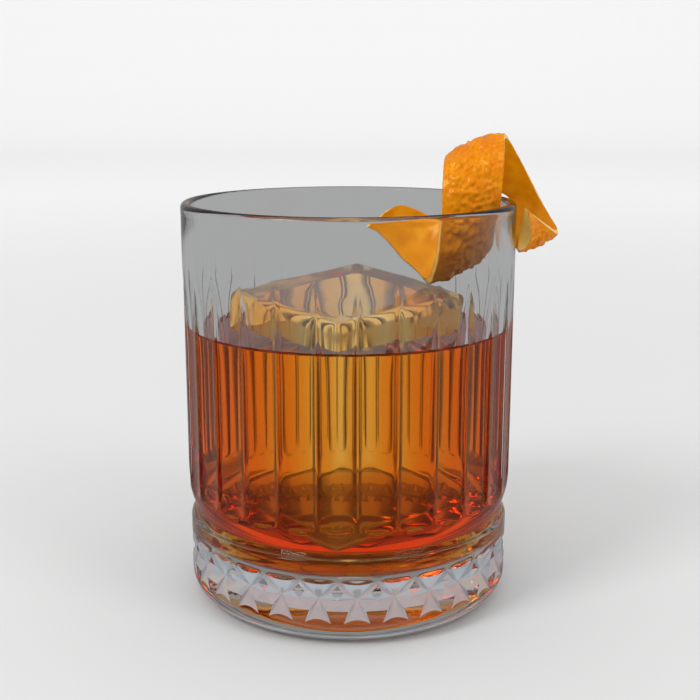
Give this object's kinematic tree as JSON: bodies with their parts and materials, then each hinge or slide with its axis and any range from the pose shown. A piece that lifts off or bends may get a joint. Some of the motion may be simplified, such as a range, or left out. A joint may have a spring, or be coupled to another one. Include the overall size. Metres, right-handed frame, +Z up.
{
  "type": "old fashioned cocktail",
  "caption": "Short amber cocktail in a fluted tumbler with a star-cut foot, over a large clear ice cube, with a twist of orange peel over the rim.",
  "frame": {"origin": "centre of the flat underside of the glass", "axes": "+Z up along the glass's axis, -Y towards the viewer of the picture, +X towards the orange peel"},
  "size_m": [0.092, 0.08, 0.1127],
  "materials": {
    "glass": "clear pressed glass, polished",
    "drink": "clear amber liquid",
    "ice": "clear wet ice, slightly melted",
    "peel": "pored orange rind outside, yellow-orange pith side"
  },
  "bodies": {
    "root": {"glass": "glass", "drink": "drink", "ice_cube": "ice", "orange_peel": "peel"}
  },
  "joints": []
}
